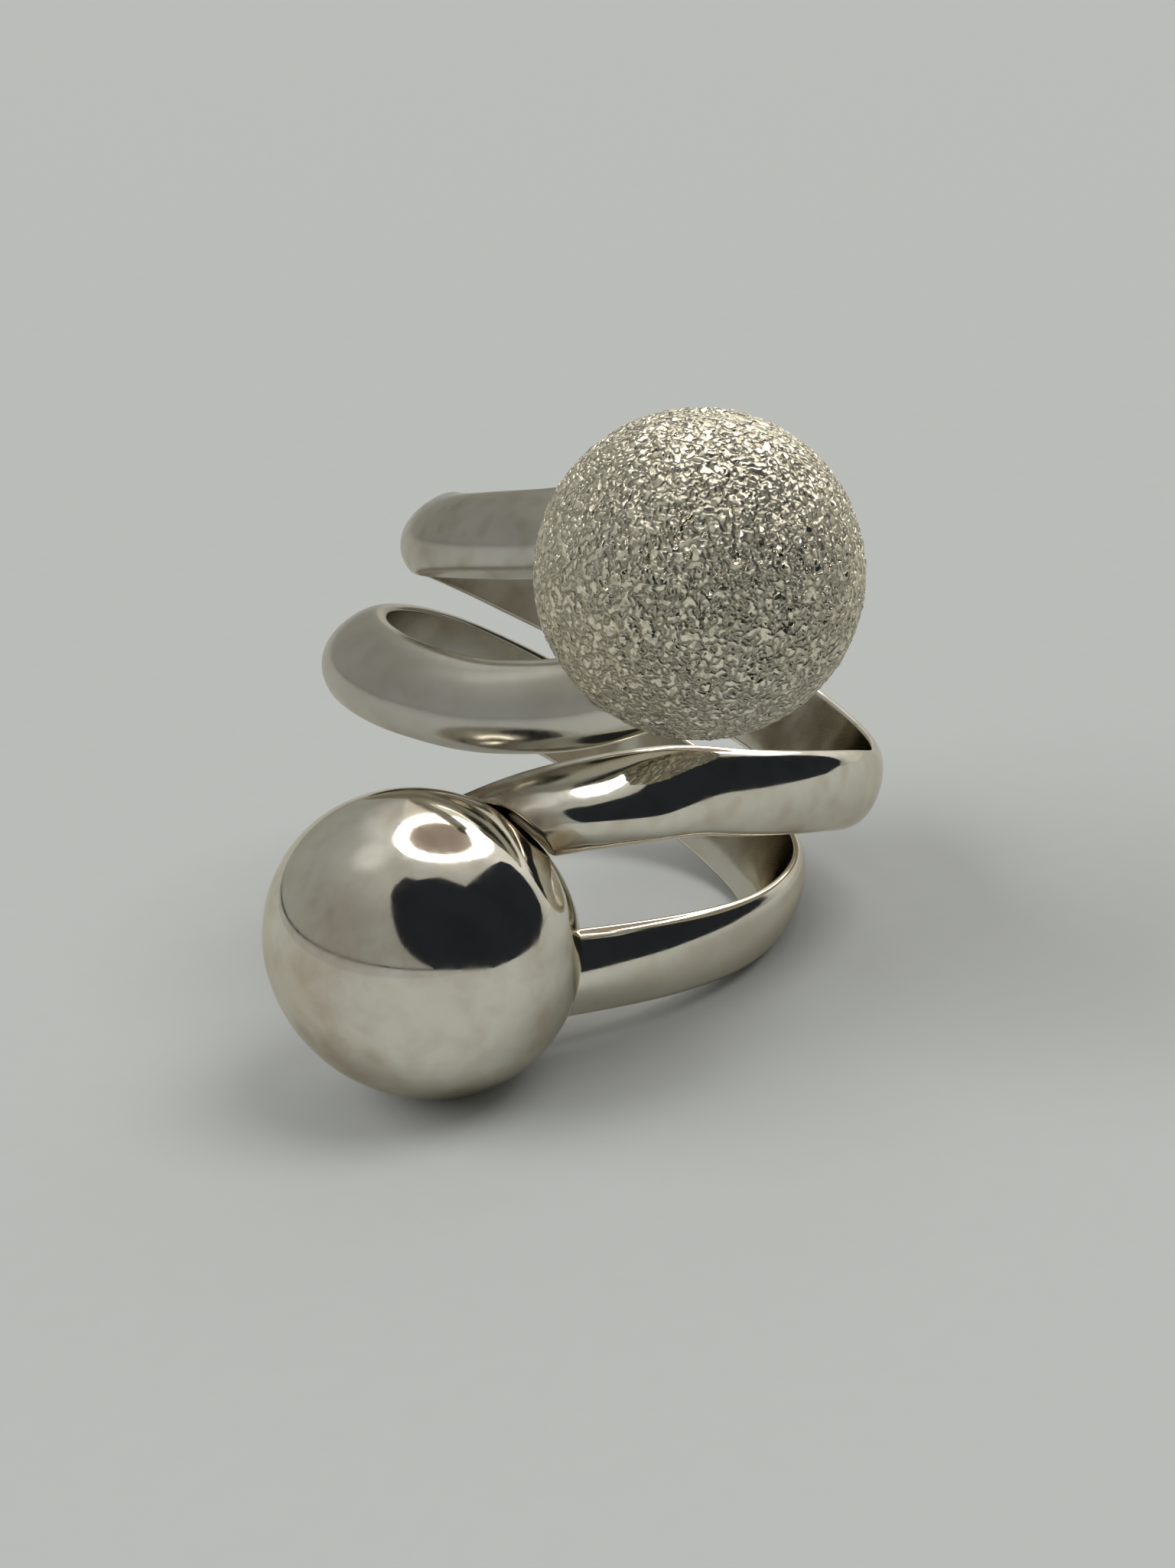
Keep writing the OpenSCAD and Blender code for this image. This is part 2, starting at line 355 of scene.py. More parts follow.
@dataclass(frozen=True)
class Grain:
    """Struck grain: modelled relief, in millimetres, and finer relief in the material, in metres.

    Args:
        depth: Greatest depth of the modelled relief.
        facet: Spacing, share of the depth, seed salt and tilt salt of its facets.
        waves: Share of the depth, period and salt of each noise over the facets.
        back: Distance behind the ball's middle where the modelled relief has faded out.
        fade: Distance over which it fades.
        crease: Angle in degrees over which a modelled edge is sharp.
        fine_facets: Scale of the material's facets, to a metre.
        bright: Random values between which a fine facet turns bright.
        bright_blur: Roughness of a bright facet.
        lines: Scale of the noise whose middle value draws the valleys, to a metre.
        valley_width: How far the noise goes from its middle value within a valley.
        valley_depth: Depth of a valley.
        valley_shade: Share of the metal's colour that a valley shows, as painted shade.
        mirrored_reach: Longest reflected ray that still sees the ball.
    """

    depth: float = 0.11
    facet: tuple[float, float, int, int] = (0.3, 0.55, 3, 10)
    waves: tuple[tuple[float, float, int], ...] = ((0.3, 0.24, 5), (0.2, 0.14, 8))
    back: float = 2.4
    fade: float = 1.2
    crease: float = 75.0
    fine_facets: float = 5000.0
    bright: Pair = (0.90, 0.93)
    bright_blur: float = 0.16
    lines: float = 3000.0
    valley_width: float = 0.13
    valley_depth: float = 0.00013
    valley_shade: float = 0.6
    mirrored_reach: float = 0.0022

    def sunk(self, places: Array) -> Array:
        """How deep the grain lies under a ball's round: the facets' heights and smooth noise, added up.

        Args:
            places: Places about the ball's middle, with the direction outwards from the finger first.

        Returns:
            Depths, none at the ball's back.
        """
        size, share, seeds, tilts = self.facet
        rough = share * cell_facets(places, size, seeds, tilts)
        for share, period, salt in self.waves:
            rough = rough + share * smooth_noise(places, period, salt)
        kept = np.clip((places[:, 0] + self.back) / self.fade, 0, 1)
        return self.depth * np.clip(0.5 + rough, 0, 1) * kept

    def add_to(self, tree: Tree, shader: Node, place: Socket, scratches: Node, colour: Socket,
               blur: float) -> None:
        """Adds the fine grain: facets that each lean their own way, and crooked valleys darkened with painted
        shade.

        The attribute "plain" takes the relief off the ball's smooth back, so that only its flecks run on.
        Reflected rays longer than the reach pass through the ball, so other pieces mirror what is behind it.

        Args:
            tree: The material's nodes.
            shader: The material's shader.
            place: Object coordinates.
            scratches: Bump of the wear, which lies over the grain.
            colour: Colour of the metal.
            blur: Roughness of most facets.
        """
        plain = add_node(tree, "Attribute", attribute_name="plain").outputs["Fac"]
        struck = maths(tree, "SUBTRACT", 1.0, plain)
        seeds = add_node(tree, "TexVoronoi", {"Vector": place, "Scale": self.fine_facets}).outputs["Color"]
        lean = vectors(tree, "SUBTRACT", {0: seeds, 1: (0.5, 0.5, 0.5)})
        lean = vectors(tree, "SCALE", {0: lean, "Scale": struck})
        leaning = vectors(tree, "ADD", {0: add_node(tree, "NewGeometry").outputs["Normal"], 1: lean})
        noise = add_node(tree, "TexNoise", {"Vector": place, "Scale": self.lines, "Detail": 1.0})
        away = maths(tree, "ABSOLUTE", maths(tree, "SUBTRACT", noise.outputs["Fac"], 0.5), 0.0)
        level = add_node(tree, "MapRange", {"Value": away, "From Max": self.valley_width},
                         interpolation_type="SMOOTHSTEP").outputs["Result"]
        # Painted shade in the valleys: their colour is the metal's times valley_shade.
        shaded = vectors(tree, "SCALE", {0: colour, "Scale": self.valley_shade})
        shown = add_node(tree, "Mix", {"A": shaded, "B": colour, "Factor": level}, data_type="RGBA")
        bump = add_node(tree, "Bump", {"Strength": struck, "Distance": self.valley_depth, "Height": level,
                                       "Normal": vectors(tree, "NORMALIZE", {0: leaning})})
        feed(scratches, {"Normal": bump.outputs["Normal"]})
        random = add_node(tree, "SeparateColor", {"Color": seeds}).outputs["Blue"]
        bright = add_node(tree, "MapRange", {"Value": random, "From Min": self.bright[0],
                                             "From Max": self.bright[1]}).outputs["Result"]
        blurs = add_node(tree, "Mix", {"A": blur, "B": self.bright_blur, "Factor": bright})
        feed(shader, {"Base Color": shown.outputs["Result"], "Roughness": blurs.outputs["Result"],
                      "Normal": scratches.outputs["Normal"]})
        path = add_node(tree, "LightPath")
        distant = maths(tree, "GREATER_THAN", path.outputs["Ray Length"], self.mirrored_reach)
        unseen = maths(tree, "MULTIPLY", distant, path.outputs["Is Glossy Ray"])
        clear = add_node(tree, "BsdfTransparent").outputs["BSDF"]
        pick = add_node(tree, "MixShader", {"Fac": unseen, 1: shader.outputs["BSDF"], 2: clear})
        feed(tree.nodes["Material Output"], {"Surface": pick.outputs["Shader"]})


@dataclass(frozen=True)
class SilverFinish:
    """One finish of the silver.

    Args:
        surface: Which of the finishes it is.
        tint: Colour of the clean metal.
        roughness: Blur of its clean reflections, which smudges vary.
        clouds: Strength of the faint tarnish.
        scratches: Strength of the fine scratches.
        grain: Its struck grain, if it has one.
    """

    surface: Surface
    tint: Triple
    roughness: float
    clouds: float
    scratches: float
    grain: Grain | None = None

    def material(self) -> bpy.types.Material:
        """Builds the finish as a material that reads Object coordinates and the piece's own attributes.

        Returns:
            The new material.
        """
        mat = bpy.data.materials.new(f"silver_{self.surface.value}")
        mat.use_nodes = True
        tree = mat.node_tree
        shader = tree.nodes["Principled BSDF"]
        place = add_node(tree, "TexCoord").outputs["Object"]
        joint = add_node(tree, "Attribute", attribute_name="joint").outputs["Fac"]
        # This attribute carries painted shade together with a duller finish.
        dull_and_shade = add_node(tree, "Attribute", attribute_name="dull_and_shade").outputs["Fac"]
        wear = add_node(tree, "Group", {"Place": place, "Clean": (*self.tint, 1), "Blur": self.roughness,
                                        "Clouds": self.clouds, "Joint": joint, "DullAndShade": dull_and_shade},
                        node_tree=silver_wear())
        bump = add_node(tree, "Bump", {"Strength": self.scratches, "Distance": 0.00001,
                                       "Height": wear.outputs["Scratches"]})
        feed(shader, {"Metallic": 1.0, "Specular Tint": EDGE_TINT, "Base Color": wear.outputs["Colour"],
                      "Roughness": wear.outputs["Roughness"], "Normal": bump.outputs["Normal"]})
        if self.grain:
            self.grain.add_to(tree, shader, place, bump, wear.outputs["Colour"], self.roughness)
        return mat


def silver_wear() -> Tree:
    """The wear that every silver finish shares: faint warm tarnish, smudges and fine scratches, and painted
    shade with a duller finish where a piece asks for it.

    Returns:
        A node group that gives colour, roughness and the height of the scratches.
    """
    if "silver_wear" in bpy.data.node_groups:
        return bpy.data.node_groups["silver_wear"]
    tree = bpy.data.node_groups.new("silver_wear", "ShaderNodeTree")
    sockets = {"INPUT": {"Place": "Vector", "Clean": "Color", "Blur": "Float", "Clouds": "Float",
                         "Joint": "Float", "DullAndShade": "Float"},
               "OUTPUT": {"Colour": "Color", "Roughness": "Float", "Scratches": "Float"}}
    for side, kinds in sockets.items():
        for name, kind in kinds.items():
            tree.interface.new_socket(name, in_out=side, socket_type=f"NodeSocket{kind}")
    take = tree.nodes.new("NodeGroupInput").outputs
    give = tree.nodes.new("NodeGroupOutput")

    def noise(scale: float, detail: float, stretch: Triple = (1, 1, 1)) -> Socket:
        """Output of a noise with a scale to a metre, stretched along the axes."""
        spread = add_node(tree, "Mapping", {"Vector": take["Place"], "Scale": stretch}).outputs["Vector"]
        return add_node(tree, "TexNoise", {"Vector": spread, "Scale": scale, "Detail": detail}).outputs["Fac"]

    def ramp(source: Socket, low: float, high: float, to_low: float = 0.0, to_high: float = 1.0) -> Socket:
        """Output of a map of one range onto another, held at its ends."""
        return add_node(tree, "MapRange", {"Value": source, "From Min": low, "From Max": high,
                                           "To Min": to_low, "To Max": to_high}).outputs["Result"]

    def plus(a: Socket, b: Socket) -> Socket:
        """Output of a sum, held between 0 and 1."""
        return add_node(tree, "Math", {0: a, 1: b}, operation="ADD", use_clamp=True).outputs[0]

    def times(a: Socket, b: Socket | float) -> Socket:
        """Output of a product."""
        return maths(tree, "MULTIPLY", a, b)

    clouds = ramp(noise(scale=260, detail=4), low=0.42, high=0.72)
    patches = ramp(noise(scale=900, detail=5), low=0.45, high=0.75)
    stained = times(plus(clouds, times(patches, 0.5)), take["Clouds"])
    stained = plus(stained, times(take["Joint"], 0.8))
    tarnish = add_node(tree, "Mix", {"A": take["Clean"], "B": TARNISH_TINT, "Factor": stained},
                       data_type="RGBA", blend_type="MULTIPLY")
    # Painted shade: where the piece's attribute is high, the colour is multiplied darker and cooler, and the
    # blur rises.
    dull = add_node(tree, "Mix", {"A": tarnish.outputs["Result"], "B": DULL_AND_SHADE_TINT, "Factor": take["DullAndShade"]},
                    data_type="RGBA", blend_type="MULTIPLY")
    smudges = ramp(noise(scale=2600, detail=3), low=0.35, high=0.75, to_low=0.7, to_high=1.7)
    blur = plus(times(smudges, take["Blur"]), times(stained, TARNISH_BLUR))
    blur = plus(blur, times(take["DullAndShade"], DULL_BLUR))
    along = noise(scale=6000, detail=2, stretch=(1, 0.06, 1))
    across = noise(scale=5200, detail=2, stretch=(0.08, 1, 0.5))
    scratches = times(plus(along, across), 0.5)
    feed(give, {"Colour": dull.outputs["Result"], "Roughness": blur, "Scratches": scratches})
    return tree


@dataclass
class Ball:
    """One hollow ball, soldered between two band ends, with its back cut to the round of the finger.

    Args:
        name: Name of the piece.
        centre: Its centre about the finger's axis.
        press: Its height along the finger as a share of its width.
        finish: The silver's finish.
        rows: Rows of points from the outward pole to the back's rim.
        back_rows: Rows of points from the rim to the back's middle.
        columns: Points in a row.
        crease: Angle in degrees over which an edge of a smooth ball is sharp.
    """

    name: str
    centre: Triple
    press: float
    finish: SilverFinish
    rows: int = 200
    back_rows: int = 24
    columns: int = 400
    crease: float = 40.0

    def axes(self) -> Array:
        """Directions outwards from the finger, to the side and along the finger, as rows."""
        out = np.array([self.centre[0], self.centre[1], 0.0]) / BALL_REACH
        return np.stack([out, [-out[1], out[0], 0], [0, 0, 1]])

    def rim(self, around: Array) -> Array:
        """Angle from the outward pole at which the ball's skin meets the saddle at its back.

        The skin's distance from the finger's axis, squared, is the reach squared, plus the radius squared
        times (1 - sin(around)^2 times (1 - cos^2)), plus twice the product of reach, radius and cosine. Set
        equal to the saddle's radius squared, this is a quadratic in the cosine.

        Args:
            around: Angles round the pole, in radians.

        Returns:
            Angles from the pole, in radians.
        """
        a = (BALL_R * np.sin(around)) ** 2
        b = 2 * BALL_REACH * BALL_R
        c = BALL_REACH**2 + (BALL_R * np.cos(around)) ** 2 - SADDLE_R**2
        return np.arccos(-2 * c / (b + np.sqrt(b * b - 4 * a * c)))

    def skin(self) -> tuple[Array, Array]:
        """Skin of the ball about the finger's axis, in millimetres.

        Each point lies at an angle from the outward pole and one round it. The back is the rim's outline
        drawn together, laid on the saddle's cylinder.

        Returns:
            Points and triangles of the closed skin.
        """
        around = np.linspace(0, 2 * np.pi, self.columns, endpoint=False)[None, :]
        share = np.linspace(0, 1, self.rows)[:, None]
        polar = share * self.rim(around)
        local = np.stack([np.cos(polar) + 0 * around, np.sin(polar) * np.cos(around),
                          self.press * np.sin(polar) * np.sin(around)], -1)
        sphere = local.reshape(-1, 3)
        sunk = self.finish.grain.sunk(sphere * BALL_R) if self.finish.grain else np.zeros(len(sphere))
        sphere = sphere * (BALL_R - sunk)[:, None]
        edge = local[-1] * BALL_R
        draw = np.linspace(1, 0, self.back_rows)[:, None]
        side, along = draw * edge[None, :, 1], draw * edge[None, :, 2]
        back = np.stack([np.sqrt(SADDLE_R**2 - side**2) - BALL_REACH, side, along], -1).reshape(-1, 3)
        back[:self.columns] = sphere[-self.columns:]
        parts = [(sphere, grid_faces(self.rows, self.columns, True)),
                 (back, grid_faces(self.back_rows, self.columns, True))]
        points, faces = welded(parts)
        points = points @ self.axes() + np.array(self.centre)
        return points, closed_outwards(points, faces)

    def build(self) -> Piece:
        """Builds and dresses the ball, with a stained back. A grained one is smooth there, and rougher below,
        where its colour is darkened as painted shade.

        Returns:
            The finished piece.
        """
        points, faces = self.skin()
        grain = self.finish.grain
        piece = mesh_object(self.name, to_row(points), faces, grain.crease if grain else self.crease)
        r = np.hypot(points[:, 0], points[:, 1])
        reach, strength = 0.9, 0.5
        add_value(piece, "joint", strength * np.clip((SADDLE_R + reach - r) / reach, 0, 1))
        if grain:
            # Painted shade: the grained ball turns darker towards its bottom as it rests, and rougher there.
            high = (to_row(points)[:, 2] - to_row(np.array([self.centre]))[0, 2]) / MM / BALL_R
            start, growth = -0.1, 0.9
            add_value(piece, "dull_and_shade", np.clip(start - growth * np.clip(high, -1, 1), 0, 1))
            half, blend = 0.05, 0.2
            add_value(piece, "plain", np.clip(0.5 + (SADDLE_R + half - r) / blend, 0, 1))
        piece.data.materials.append(self.finish.material())
        return piece


@dataclass
class Band:
    """One domed band, from the ball it starts at to the ball it ends at. Lengths are in millimetres.

    Args:
        name: Name of the piece.
        path: Angle round the finger and height, one row each.
        half_turned: True if the path is drawn turned half round the front axis.
        finish: The silver's finish.
        columns: Stretches of the dome's outline.
        step: Length of a stretch along the band.
        edge_round: Height of the rounded edges, as a share of the thickness.
        edge_width: Their width, as a share of half the band's.
        rim_round: Radius of the rounding at the band's ends.
        end_span: Angle at an end that reaches out of its ball, in degrees.
        crease: Angle in degrees over which an edge is sharp.
        twist: Where the upper foot's twist ends, the angle over which it fades, its roll, the share that
            one edge loses to the other, and its lift.
        solder_reach: Distance from the polished ball's skin that its solder covers.
        joint_reach: Distance from a ball's skin that the joint's dark line covers.
        dull_and_shade: Place to the right where the left side's rougher finish and painted shade end, and
            length of their fading.
    """

    name: str
    path: tuple[Pair, ...]
    half_turned: bool
    finish: SilverFinish
    columns: int = 60
    step: float = 0.14
    edge_round: float = 0.15
    edge_width: float = 0.09
    rim_round: float = 0.14
    end_span: float = 50.0
    crease: float = 35.0
    twist: tuple[float, ...] = (34.0, 28.0, 24.0, 0.5, 0.55)
    solder_reach: float = 1.5
    joint_reach: float = 0.35
    dull_and_shade: Pair = (2.0, 4.0)

    def height_and_slope(self, angle: Array) -> tuple[Array, Array]:
        """Height of the band's middle and its slope, on a cubic between each two rows of the path.

        The slope at a row is the mean of the two neighbouring grades, each weighted by the other's length.

        Args:
            angle: Angles round the finger, in degrees.

        Returns:
            Heights in millimetres, and slopes in millimetres a degree.
        """
        table = np.array(self.path, float)
        run = np.diff(table[:, 0])
        grade = np.diff(table[:, 1]) / run
        inner = (grade[:-1] * run[1:] + grade[1:] * run[:-1]) / (run[1:] + run[:-1])
        knot = np.concatenate([[grade[0]], inner, [grade[-1]]])
        i = np.clip(np.searchsorted(table[:, 0], angle, side="right") - 1, 0, len(run) - 1)
        h, low, high, m0, m1 = run[i], table[i, 1], table[i + 1, 1], knot[i], knot[i + 1]
        s = (angle - table[i, 0]) / h
        height = ((2 * s**3 - 3 * s**2 + 1) * low + (s**3 - 2 * s**2 + s) * h * m0
                  + (3 * s**2 - 2 * s**3) * high + (s**3 - s**2) * h * m1)
        slope = ((6 * s**2 - 6 * s) / h * (low - high) + (3 * s**2 - 4 * s + 1) * m0
                 + (3 * s**2 - 2 * s) * m1)
        return height, slope

    def point(self, angle: Array, across: Array, out: Array) -> Array:
        """Point of the band: across its width by one distance and out from the finger hole by another.

        The upper band's foot twists on a smoothstep of the angle. The distance out is multiplied by one less
        a share that grows across the band, and the section rolls, so that its dome faces up, and lifts.

        Args:
            angle: Angles round the finger, in degrees.
            across: Distance across the band.
            out: Distance out from the finger hole.

        Returns:
            Points about the finger's axis, as the path is drawn.
        """
        if not self.half_turned:
            end, run, roll, lean, lift = self.twist
            near = eased(np.clip((end - angle) / run, 0, 1))
            c, s = np.cos(np.radians(roll) * near), np.sin(np.radians(roll) * near)
            out = out * (1 - lean * near * across / self.half_width(angle))
            across, out = across * c + out * s, out * c - across * s + lift * near
        height, slope = self.height_and_slope(angle)
        pitch = np.arctan(np.degrees(slope) / SLOPE_R)
        turn = np.radians(angle) - across * np.sin(pitch) / SLOPE_R
        r = FINGER_R + out
        return np.stack([r * np.sin(turn), -r * np.cos(turn), height + across * np.cos(pitch)], -1)

    def half_width(self, angle: Array) -> Array:
        """Half the band's width: a mean less a cosine of the angle, so that it is widest at the back."""
        return (BAND_BACK_W + BAND_FRONT_W) / 4 - (BAND_BACK_W - BAND_FRONT_W) / 4 * np.cos(np.radians(angle))

    def outline(self) -> tuple[Array, Array]:
        """Outline of the band as shares of half its width and of its thickness.

        The dome is (cos f, sin f to the dome power times (1 - lean cos f sin f)), so its crest lies a little
        to one side of the middle. The inner side is flat, with edges that rise on a quarter round.

        Returns:
            Shares across and shares out, the dome first and then the inner side back again.
        """
        first = np.arcsin(self.edge_round ** (1 / DOME_POWER))
        f = np.linspace(first, np.pi - first, self.columns + 1)
        across = np.cos(f)
        lean = -DOME_LEAN if self.half_turned else DOME_LEAN
        top = np.sin(f) ** DOME_POWER * (1 - lean * across * np.sin(f))
        near = np.clip((np.abs(across) - (across[0] - self.edge_width)) / self.edge_width, 0, 1)
        low = self.edge_round * (1 - np.sqrt(1 - near**2))
        return np.concatenate([across, across[-2:0:-1]]), np.concatenate([top, low[-2:0:-1]])

    def leaves(self, across: Array, out: Array, end: int) -> Array:
        """Angle at which each line of the band leaves the hollow round its ball, found by halving.

        Args:
            across: Share of half the width of each line.
            out: Distance out of each line.
            end: 0 for the path's first end, -1 for its last.

        Returns:
            Angles in degrees.
        """
        turn = -1 if self.half_turned else 1
        textured = (end == 0) == self.half_turned
        middle, press = (TEXTURED_AT, 1.0) if textured else (POLISHED_AT, POLISHED_PRESS)
        shift = (BALL_REACH + END_SHIFT) / BALL_REACH
        centre = np.array((turn * middle[0], middle[1], turn * middle[2])) * (shift, shift, 1)
        reach = np.sqrt(BALL_R**2 - (BALL_REACH - CREST_R) ** 2) + END_GAP
        hollow = np.hypot(reach, BALL_REACH + END_SHIFT - CREST_R)
        inside = self.path[end][0]
        outside = inside + (self.end_span if end == 0 else -self.end_span)
        low, high = np.full(across.shape, inside, float), np.full(across.shape, outside, float)
        halvings = 24
        for _ in range(halvings):
            mid = (low + high) / 2
            away = (self.point(mid, across * self.half_width(mid), out) - centre) / (1, 1, press)
            within = np.linalg.norm(away, axis=-1) < hollow
            low, high = np.where(within, mid, low), np.where(within, high, mid)
        return (low + high) / 2

    def skin(self) -> tuple[Array, Array]:
        """Skin of the band about the finger's axis.

        The outline is carried along the path, from where each of its lines leaves the first ball to where it
        meets the last. It draws in near both ends on a quarter round. The end faces follow the balls.

        Returns:
            Points and triangles of the closed skin.
        """
        across, out = self.outline()
        out = out * BAND_T
        length = np.radians(self.path[-1][0] - self.path[0][0] - self.end_span) * CREST_R
        near = np.array([0, 0.008, 0.025, 0.05, 0.085, 0.14])
        clear = 0.3
        even = np.linspace(clear, length - clear, int(length / self.step))
        along = np.concatenate([near, even, length - near[::-1]])
        shares, outs = self.drawn_in(across, out, np.array([self.rim_round]))
        first, last = self.leaves(shares[0], outs[0], 0), self.leaves(shares[0], outs[0], -1)
        angle = first + (last - first) * (along / length)[:, None]
        to_end = np.minimum(along, length - along)
        away = np.clip(self.rim_round - to_end, 0, None)
        sink = self.rim_round - np.sqrt(self.rim_round**2 - away**2)
        shares, outs = self.drawn_in(across, out, sink)
        body = self.point(angle, shares * self.half_width(angle), outs)
        parts = [(body.reshape(-1, 3), grid_faces(len(along), len(across), True))]
        n = self.columns
        upper = slice(0, n + 1)
        lower = np.concatenate([[0], np.arange(len(across) - 1, n, -1), [n]])
        rows = 7
        blend = np.linspace(0, 1, rows)[:, None]
        for end in (0, -1):
            cap_share = shares[end][upper] * (1 - blend) + shares[end][lower] * blend
            cap_out = outs[end][upper] * (1 - blend) + outs[end][lower] * blend
            cap_angle = self.leaves(cap_share, cap_out, end)
            cap = self.point(cap_angle, cap_share * self.half_width(cap_angle), cap_out)
            cap[0], cap[-1] = body[end][upper], body[end][lower]
            faces = grid_faces(rows, n + 1, False)
            parts.append((cap.reshape(-1, 3), faces if end == 0 else faces[:, ::-1]))
        points, faces = welded(parts)
        faces = closed_outwards(points, faces)
        turn = -1 if self.half_turned else 1
        return self.worn(points * (turn, 1, turn)), faces

    def solder(self, points: Array) -> Array:
        """How near each point lies to the polished ball, from 1 at its skin to 0 where its solder ends."""
        return np.clip(1 - ball_gap(points, POLISHED_AT, POLISHED_PRESS) / self.solder_reach, 0, 1)

    def worn(self, points: Array) -> Array:
        """Lets the dome sink unevenly: a little all over, as if finished by hand, and more in the solder.

        Args:
            points: Points about the finger's axis.

        Returns:
            The points, with those on the dome moved inwards.
        """
        r = np.hypot(points[:, 0], points[:, 1])
        foot, rise = 0.25, 0.5
        dome = np.clip((r - FINGER_R - foot) / rise, 0, 1)
        by_hand, broad, short = 0.014, 0.13, 0.05
        sunk = by_hand * (1 + smooth_noise(points, period=1.7, salt=11))
        if not self.half_turned:
            solder = self.solder(points)
            sunk = sunk + broad * solder * (1 + smooth_noise(points, period=0.8, salt=12))
            sunk = sunk + short * np.sqrt(solder) * (1 + smooth_noise(points, period=0.5, salt=14))
        keep = 1 - dome * sunk / r
        return points * np.stack([keep, keep, np.ones(len(r))], -1)

    def drawn_in(self, across: Array, out: Array, sink: Array) -> tuple[Array, Array]:
        """Outline moved towards a point under its crest by a distance, one outline for each distance.

        Args:
            across: Shares of half the width.
            out: Distances out.
            sink: Distances to move.

        Returns:
            Shares of half the width and distances out, one row for each distance.
        """
        level = 0.4
        half, mid = BAND_FRONT_W / 2, level * BAND_T
        far = np.hypot(across * half, out - mid)
        keep = 1 - sink[:, None] / far[None, :]
        return across * keep, mid + (out - mid) * keep

    def build(self) -> Piece:
        """Builds and dresses the band.

        Returns:
            The finished piece.
        """
        points, faces = self.skin()
        piece = mesh_object(self.name, to_row(points), faces, self.crease)
        gap = np.minimum(ball_gap(points, POLISHED_AT, POLISHED_PRESS), ball_gap(points, TEXTURED_AT, 1.0))
        joint = np.clip(1 - gap / self.joint_reach, 0, 1) ** 2
        if not self.half_turned:
            stain, uneven, most = 1.6, 0.5, 0.9
            stained = stain * self.solder(points) + uneven * smooth_noise(points, period=0.5, salt=13)
            joint = np.maximum(joint, np.clip(stained, 0, most))
        add_value(piece, "joint", joint)
        # Painted shade on the left side, with a rougher finish: the colour there is darkened as well as
        # blurred.
        add_value(piece, "dull_and_shade", np.clip((self.dull_and_shade[0] - points[:, 0]) / self.dull_and_shade[1], 0, 1))
        piece.data.materials.append(self.finish.material())
        return piece


def off(way: Array, side: float, high: float) -> Array:
    """Angle in degrees between unit vectors and the direction that two angles give."""
    return np.degrees(np.arccos(np.clip(way @ direction(side, high), -1, 1)))


def oval(way: Array, side: float, high: float, across: float, up: float) -> Array:
    """How far unit vectors lie from an oval's middle, where 1 is its edge.

    The angles beside and above the middle, as shares of the half sizes, give the root of their squares' sum.

    Args:
        way: The unit vectors.
        side: Angle of the middle from the front towards the right, in degrees.
        high: Angle of the middle above the table.
        across: Half the oval's breadth.
        up: Half its height.

    Returns:
        Shares, large for directions beyond a right angle.
    """
    x, y = np.radians(side), np.radians(high)
    beside = way @ np.array([np.cos(x), np.sin(x), 0])
    above = way @ np.array([-np.sin(x) * np.sin(y), np.cos(x) * np.sin(y), np.cos(y)])
    far = np.hypot(np.degrees(np.arcsin(beside)) / across, np.degrees(np.arcsin(above)) / up)
    return np.where(off(way, side, high) < 90, far, FAR)


def soft(value: Array, start: float, end: float) -> Array:
    """Smooth step from 0 to 1 between two values, either way round, with an axis added for the colours."""
    return eased(np.clip((value - start) / (end - start), 0, 1))[..., None]


